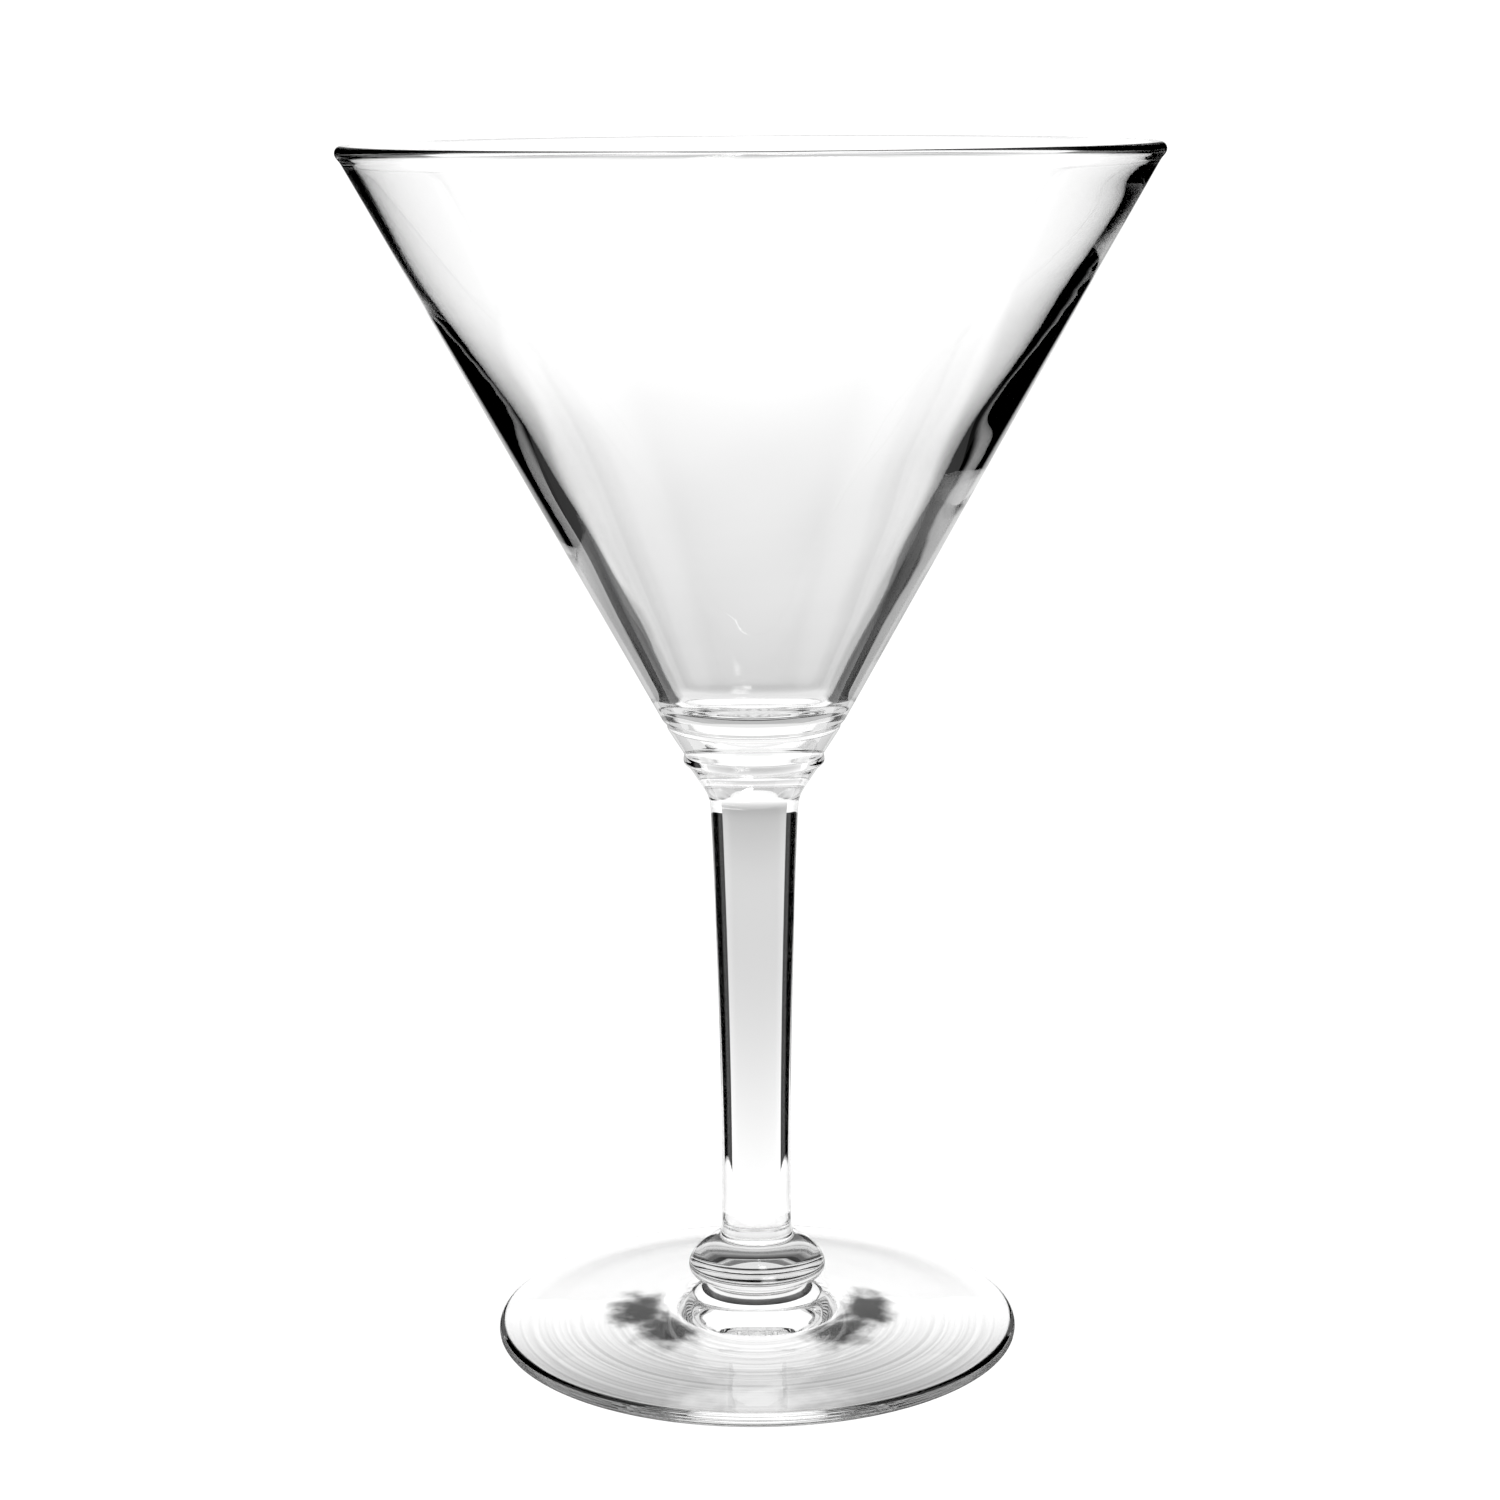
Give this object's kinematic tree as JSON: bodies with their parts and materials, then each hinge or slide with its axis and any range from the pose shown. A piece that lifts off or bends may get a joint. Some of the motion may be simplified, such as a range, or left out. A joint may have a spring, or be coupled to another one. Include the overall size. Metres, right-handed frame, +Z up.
{
  "type": "martini glass",
  "caption": "Clear stemmed martini glass: cone bowl with a beaded rim and a thick floor, short button with a wafer edge, tapered stem, round collar and flat foot.",
  "frame": {"origin": "centre of the circle that the foot stands on, at table level", "axes": "+Z up along the stem, from the table to the rim; the glass is round about it, so X and Y are free"},
  "size_m": [0.1134, 0.1134, 0.172],
  "materials": {
    "clear_glass": "fire-polished, clear and colourless"
  },
  "bodies": {
    "root": {"bowl": "clear_glass", "bowl_button": "clear_glass", "stem": "clear_glass", "foot_collar": "clear_glass", "foot": "clear_glass"}
  },
  "joints": []
}
